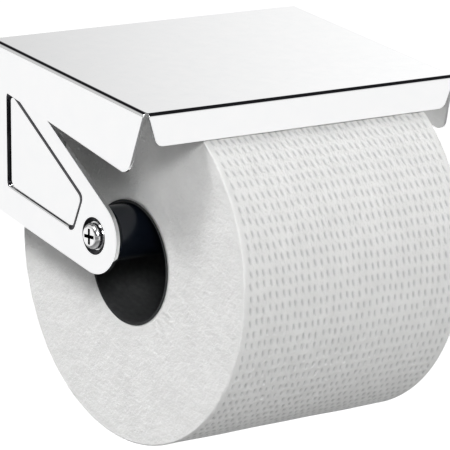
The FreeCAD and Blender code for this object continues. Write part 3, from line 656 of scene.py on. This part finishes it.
def build_roll():
    """A wound roll: pressed dimples on its wall, soft rims, and ends that waver a little."""
    low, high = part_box("paper_roll")
    x0, x1 = low.x / MM, high.x / MM
    rows, columns, plain = DIMPLES["rows"], DIMPLES["columns"], DIMPLES["plain"]
    per_row, per_column = 8, 7
    around = rows * per_row
    pitch = (x1 - x0 - 2 * plain) / columns
    rng = np.random.default_rng(7)
    turn = np.linspace(0, 2 * np.pi, around, endpoint=False)

    # the profile: (x, radius, how far out along the wall) from the left bore round to the right
    rim = ROLL["rim"]
    face = np.linspace(ROLL["core"], ROLL["radius"] - rim, 34)
    bend = np.radians([0, 30, 60, 90])
    xs = list(np.full(len(face), x0))
    rs = list(face)
    for a in bend[1:]:
        xs.append(x0 + rim - rim * math.cos(a))
        rs.append(ROLL["radius"] - rim + rim * math.sin(a))
    wall = np.linspace(x0 + rim, x1 - rim, columns * per_column + 1)[1:-1]
    xs += list(wall)
    rs += [ROLL["radius"]] * len(wall)
    for a in bend[::-1][:-1]:
        xs.append(x1 - rim + rim * math.cos(a))
        rs.append(ROLL["radius"] - rim + rim * math.sin(a))
    xs += list(np.full(len(face), x1))
    rs += list(face[::-1])
    xs, rs = np.array(xs), np.array(rs)
    X = np.repeat(xs[:, None], around, 1)
    R = np.repeat(rs[:, None], around, 1)
    A = np.repeat(turn[None, :], len(xs), 0)

    # dimples: rows of short slanting dashes, each a little different
    u = (X - x0 - plain) / pitch
    v = A / (2 * np.pi) * rows
    iu, iv = np.floor(u).astype(int), np.floor(v).astype(int)
    inside = (iu >= 0) & (iu < columns) & (R > ROLL["radius"] - 0.01)
    jitter = rng.uniform(-1, 1, (3, columns + 2, rows + 2))
    ci, cj = np.clip(iu, 0, columns), np.clip(iv, 0, rows)
    du = (u - iu - 0.5 - DIMPLES["wander"] * jitter[0, ci, cj]) * pitch
    row_pitch = 2 * np.pi * ROLL["radius"] / rows
    dv = (v - iv - 0.5 - DIMPLES["wander"] * jitter[1, ci, cj]) * row_pitch
    du = du - DIMPLES["lean"] * dv
    dash = np.exp(-(du / DIMPLES["half_width"]) ** 2 - (dv / DIMPLES["half_length"]) ** 4)
    depth = DIMPLES["depth"] + DIMPLES["uneven"] * jitter[2, ci, cj]
    sink = np.where(inside, depth * dash, 0.0)

    # a slow unevenness of the wall, and layers and puckers on the ends
    wave = 0.05 * np.sin(3 * A + X * 0.11) + 0.04 * np.sin(7 * A - X * 0.23 + 1.0)
    wall_part = np.clip((R - (ROLL["radius"] - rim)) / rim, 0, 1)
    R = R - sink - wall_part * (ROLL["drawn_in"] + wave)
    end = np.where(X < (x0 + x1) / 2, 1.0, -1.0) * (1 - wall_part)
    ring = np.sin(R * 2.9 + 0.6 * np.sin(2 * A)) * 0.08 + np.sin(R * 6.7 + 1.3 * np.sin(A)) * 0.03
    pucker = np.sin(A * 11 + R * 0.21) * 0.06 + np.sin(A * 37 - R * 0.33) * 0.05
    fade = np.clip((R - ROLL["core"]) / 4.0, 0, 1)
    X = X + end * (ROLL["end_relief"] + (ring + pucker) * fade)
    Y = ROLL["y"] + R * np.cos(A)
    Z = ROLL["z"] + R * np.sin(A)
    points = np.stack([X, Y, Z], -1).reshape(-1, 3) * MM

    count = len(xs)
    i, j = np.meshgrid(np.arange(count), np.arange(around), indexing="ij")
    a = i * around + j
    b = i * around + (j + 1) % around
    c = ((i + 1) % count) * around + (j + 1) % around
    d = ((i + 1) % count) * around + j
    quads = np.stack([a, b, c, d], -1).reshape(-1, 4)
    mesh = bpy.data.meshes.new("tissue_roll")
    mesh.from_pydata(points.tolist(), [], quads.tolist())
    mesh.update()
    mesh.shade_smooth()
    # the dimples' mask, which the paper uses for painted shade
    dimple_painted_shade = mesh.attributes.new("dimple_painted_shade", "FLOAT", "POINT")
    dimple_painted_shade.data.foreach_set("value", np.where(inside, dash, 0.0).ravel())
    made = bpy.data.objects.new("tissue_roll", mesh)
    bpy.context.scene.collection.objects.link(made)
    mesh.materials.append(TISSUE)
    return made


roll = build_roll()
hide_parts("paper_roll")
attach(roll, "roll")

# ---------------------------------------------------------------- studio

SPAN, FLOOR_Z = 40.0, -0.42
MIDDLE = Vector((0.0, -0.06, -0.03))
FLOOR_GLOW = 0.96
# where the floor glows less: (spot, dark out to, full glow from)
FLOOR_DIMS = [((0.0, -0.06), 0.6, 1.1), ((-4.0, -2.2), 2.9, 4.4)]
BASE_SHADE = (0.08, 0.08, 0.083)
# where the plating mirrors something dark
DARK = (0.012, 0.012, 0.014)
# round patches of the surroundings, each over the ones before it
FLAGS = [
    # azimuth, elevation, half width, softness, shade
    (80, 8, 44.5, 12, (1.2, 1.2, 1.2)),
    (-142, 0, 48, 14, (0.05, 0.05, 0.055)),
    (-38, 14, 26, 6, (0.68, 0.68, 0.68)),
    (128, 36, 21, 3, DARK),
    (142, 0, 18, 4, (0.95, 0.95, 0.95)),
    (0, 90, 48, 3, DARK),
]
# how far the soft boxes' light spreads, in degrees
SPREAD = 24.0


def direction(azimuth, elevation):
    """A unit vector. Azimuth 0 is +Y, 90 is +X; both in degrees."""
    a, e = math.radians(azimuth), math.radians(elevation)
    return Vector((math.sin(a) * math.cos(e), math.cos(a) * math.cos(e), math.sin(e)))


def build_floor():
    """A pale table top that glows softly, but less at the two spots of FLOOR_DIMS."""
    mesh = bpy.data.meshes.new("studio_floor")
    mesh.from_pydata([(-SPAN, -SPAN, FLOOR_Z), (SPAN, -SPAN, FLOOR_Z), (SPAN, SPAN, FLOOR_Z),
                      (-SPAN, SPAN, FLOOR_Z)], [], [(0, 1, 2, 3)])
    made = bpy.data.objects.new("studio_floor", mesh)
    bpy.context.scene.collection.objects.link(made)
    look, nodes, links, shader = material("studio_floor_paint")
    pale = noise(nodes, links, 2.0, 3.0)
    links.new(ramp(nodes, links, pale, (0.72, 0.72, 0.72), (0.75, 0.75, 0.75)),
              shader.inputs["Base Color"])
    shader.inputs["Roughness"].default_value = 0.9
    place = nodes.new("ShaderNodeTexCoord")
    dims = []
    for spot, near, far in FLOOR_DIMS:
        away = nodes.new("ShaderNodeVectorMath")
        away.operation = "DISTANCE"
        links.new(place.outputs["Object"], away.inputs[0])
        away.inputs[1].default_value = (*spot, FLOOR_Z)
        dim = nodes.new("ShaderNodeMapRange")
        dim.interpolation_type = "SMOOTHSTEP"
        dim.inputs["From Min"].default_value = near
        dim.inputs["From Max"].default_value = far
        dim.inputs["To Max"].default_value = math.sqrt(FLOOR_GLOW)
        links.new(away.outputs["Value"], dim.inputs["Value"])
        dims.append(dim.outputs["Result"])
    glow = nodes.new("ShaderNodeMath")
    glow.operation = "MULTIPLY"
    links.new(dims[0], glow.inputs[0])
    links.new(dims[1], glow.inputs[1])
    shader.inputs["Emission Color"].default_value = (1, 1, 1, 1)
    links.new(glow.outputs["Value"], shader.inputs["Emission Strength"])
    mesh.materials.append(look)


def build_world():
    """A dark studio with light and dark patches, which the plating mirrors."""
    world = bpy.data.worlds.new("studio")
    bpy.context.scene.world = world
    world.use_nodes = True
    nodes, links = world.node_tree.nodes, world.node_tree.links
    background = nodes["Background"]
    place = nodes.new("ShaderNodeTexCoord")

    def patch(under, azimuth, elevation, half, soft, shade):
        """A round patch of another shade."""
        dot = nodes.new("ShaderNodeVectorMath")
        dot.operation = "DOT_PRODUCT"
        links.new(place.outputs["Generated"], dot.inputs[0])
        dot.inputs[1].default_value = direction(azimuth, elevation)
        limits = nodes.new("ShaderNodeMapRange")
        limits.interpolation_type = "SMOOTHSTEP"
        limits.inputs["From Min"].default_value = math.cos(math.radians(half + soft))
        limits.inputs["From Max"].default_value = math.cos(math.radians(half - soft))
        links.new(dot.outputs["Value"], limits.inputs["Value"])
        mix = nodes.new("ShaderNodeMix")
        mix.data_type = "RGBA"
        links.new(limits.outputs["Result"], mix.inputs["Factor"])
        if under is None:
            mix.inputs["A"].default_value = (*BASE_SHADE, 1)
        else:
            links.new(under, mix.inputs["A"])
        mix.inputs["B"].default_value = (*shade, 1)
        return mix.outputs["Result"]

    colour = None
    for row in FLAGS:
        colour = patch(colour, *row)
    links.new(colour, background.inputs["Color"])
    background.inputs["Strength"].default_value = 1.0


def area(name, azimuth, elevation, distance, width, height, power):
    """A soft box that looks at the middle of the holder."""
    data = bpy.data.lights.new(name, "AREA")
    data.shape = "RECTANGLE"
    data.size, data.size_y = width, height
    data.energy = power
    data.spread = math.radians(SPREAD)
    made = bpy.data.objects.new(name, data)
    bpy.context.scene.collection.objects.link(made)
    made.location = MIDDLE + direction(azimuth, elevation) * distance
    made.rotation_euler = direction(azimuth, elevation).to_track_quat("Z", "Y").to_euler()


build_floor()
build_world()
area("key", azimuth=-147, elevation=27, distance=1.7, width=0.8, height=0.8, power=1.4)
area("left_key", azimuth=-86, elevation=50, distance=1.5, width=0.8, height=0.8, power=0.95)

# ---------------------------------------------------------------- camera

AZIMUTH, ELEVATION, DISTANCE, LENS = 37.83, 11.44, 1.1349, 285.47
AIM = Vector((-0.0504, -0.1309, -0.0147))
back = direction(AZIMUTH - 180, ELEVATION)
camera_data = bpy.data.cameras.new("camera")
camera_data.sensor_width = 36.0
camera_data.lens = LENS
camera_data.clip_start, camera_data.clip_end = 0.05, 100.0
camera = bpy.data.objects.new("camera", camera_data)
bpy.context.scene.collection.objects.link(camera)
camera.location = AIM + back * DISTANCE
camera.rotation_mode = "QUATERNION"
camera.rotation_quaternion = back.to_track_quat("Z", "Y")
bpy.context.scene.camera = camera
bpy.context.scene.view_settings.view_transform = "Standard"
